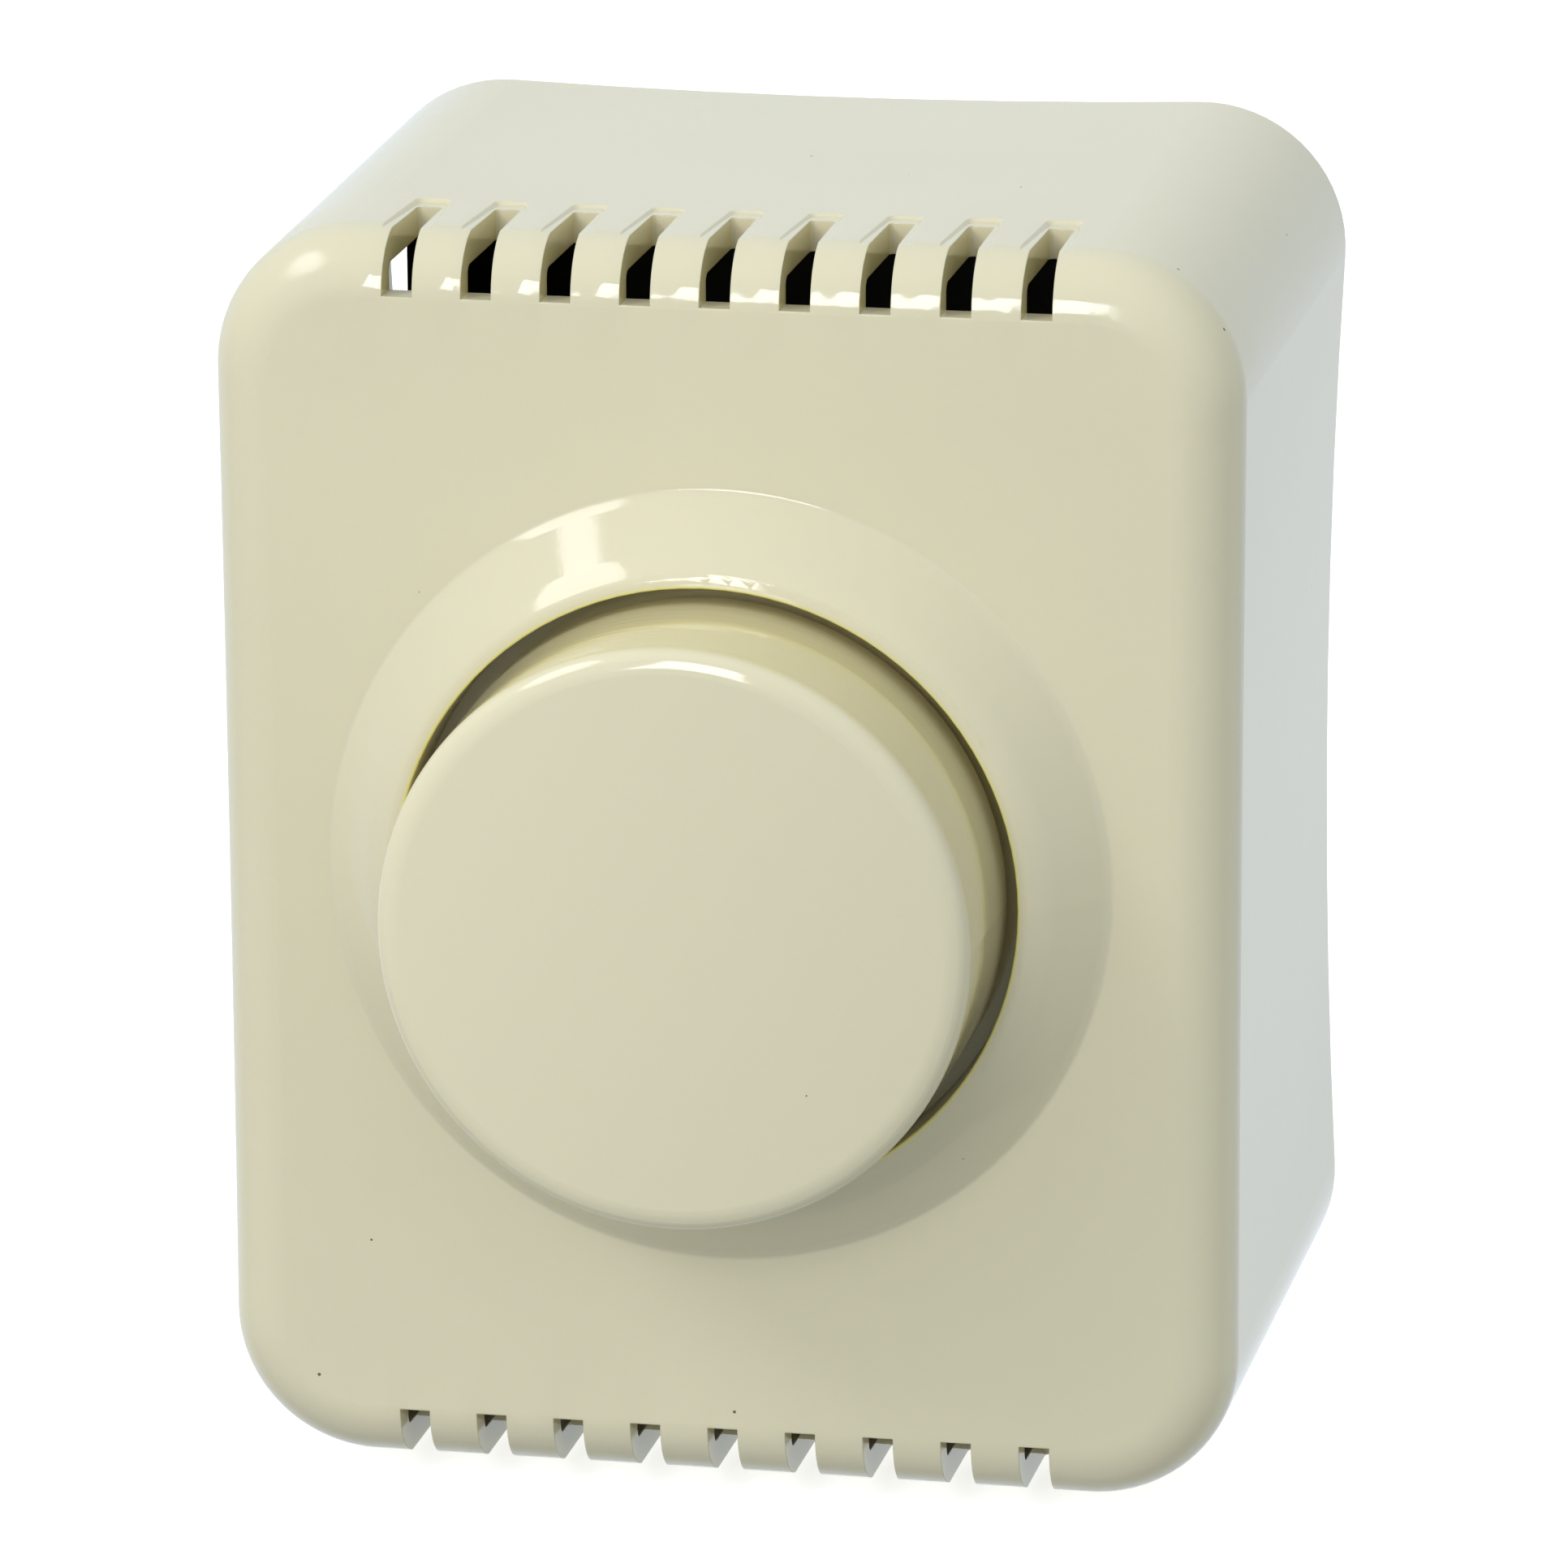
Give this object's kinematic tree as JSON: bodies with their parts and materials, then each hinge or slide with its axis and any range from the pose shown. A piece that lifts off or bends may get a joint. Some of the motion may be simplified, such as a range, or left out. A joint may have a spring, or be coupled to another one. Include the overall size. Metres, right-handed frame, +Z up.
{
  "type": "surface-mounted rotary dimmer",
  "caption": "Surface-mounted wall dimmer: deep vented rounded cover, raised conical collar and a round push-and-turn knob over a dimmer circuit on a wall base.",
  "frame": {"origin": "centre of the mounting face, on the wall plane and on the knob's axis", "axes": "+Y points into the wall and the knob points to -Y, +Z up along the long side, +X to the right seen from the front"},
  "size_m": [0.0656, 0.061, 0.0822],
  "materials": {
    "cover_plastic": "glossy moulded cream plastic",
    "knob_plastic": "glossy moulded cream plastic",
    "base_plastic": "satin black moulded plastic",
    "switch_plastic": "dark moulded plastic",
    "moving_plastic": "natural acetal",
    "terminal_plastic": "dark grey moulded plastic",
    "board": "phenolic board",
    "wafer": "phenolic wafer",
    "carbon": "printed carbon film",
    "nickel_plate": "nickel-plated",
    "spring_steel": "spring steel",
    "screw_steel": "zinc-plated steel",
    "contact_brass": "rolled brass",
    "enamel_copper": "enamelled copper wire",
    "ferrite": "sintered ferrite",
    "suppression_case": "flame-retardant plastic case",
    "timing_case": "epoxy-filled plastic case",
    "trimmer_plastic": "moulded plastic",
    "trimmer_dial": "moulded plastic",
    "epoxy_black": "moulded epoxy with a plated tab",
    "heatsink_black": "black anodised",
    "resistor_body": "lacquered",
    "diac_body": "lacquered glass",
    "tinned_lead": "tinned",
    "fuse_glass": "clear glass"
  },
  "bodies": {
    "base": {"cover_shell": "cover_plastic", "mounting_base": "base_plastic", "switch_housing": "switch_plastic", "switch_lid": "switch_plastic", "terminal_block": "terminal_plastic", "circuit_board": "board", "potentiometer_wafer": "wafer", "resistive_track": "carbon", "threaded_bush": "nickel_plate", "bush_nut": "nickel_plate", "nut_washer": "nickel_plate", "potentiometer_can": "nickel_plate", "return_spring": "spring_steel", "contact_pivot_pin": "spring_steel", "board_screws": "screw_steel", "terminal_screws": "screw_steel", "heatsink_screw": "screw_steel", "terminal_clamps": "contact_brass", "fixed_contacts": "contact_brass", "potentiometer_tags": "contact_brass", "fuse_clips": "contact_brass", "choke_winding": "enamel_copper", "choke_core": "ferrite", "suppression_capacitor": "suppression_case", "timing_capacitor": "timing_case", "trimmer_body": "trimmer_plastic", "triac": "epoxy_black", "heatsink": "heatsink_black", "resistors": "resistor_body", "diac": "diac_body", "resistor_leads": "tinned_lead", "solder_joints": "tinned_lead", "fuse_caps": "tinned_lead", "fuse_wire": "tinned_lead", "fuse_tube": "fuse_glass"},
    "plunger": {"switch_plunger": "moving_plastic"},
    "knob": {"knob": "knob_plastic", "knob_clip": "spring_steel", "shaft": "nickel_plate"},
    "rotor": {"wiper_rotor": "moving_plastic", "wiper_contact": "contact_brass"},
    "contact_arm": {"contact_arm": "contact_brass"},
    "trimmer": {"trimmer_rotor": "trimmer_dial"}
  },
  "joints": [
    {"name": "knob_push", "type": "slide", "parent": "base", "child": "plunger", "axis": [0, 1, 0], "range_m": [0, 0.0015], "stiffness_N_per_m": 2500, "springref_m": -0.0004, "deforming": ["return_spring"]},
    {"name": "knob_turn", "type": "hinge", "parent": "plunger", "child": "knob", "pos_m": [0, -0.05, 0], "axis": [0, 1, 0], "range_deg": [-140, 140]},
    {"name": "wiper_turn", "type": "hinge", "parent": "base", "child": "rotor", "pos_m": [0, -0.034, 0], "axis": [0, 1, 0], "range_deg": [-140, 140]},
    {"name": "contact_swing", "type": "hinge", "parent": "base", "child": "contact_arm", "pos_m": [-0.0052, -0.02415, 0.0052], "axis": [0, 0, 1], "range_deg": [0, 10]},
    {"name": "trimmer_turn", "type": "hinge", "parent": "base", "child": "trimmer", "pos_m": [-0.0166, -0.0225, -0.0189], "axis": [0, 1, 0], "range_deg": [-130, 130]}
  ],
  "couplings": [
    {"joint": "wiper_turn", "follows": "knob_turn", "ratio": 1},
    {"joint": "contact_swing", "follows": "knob_push", "rad_per_m": 115}
  ]
}
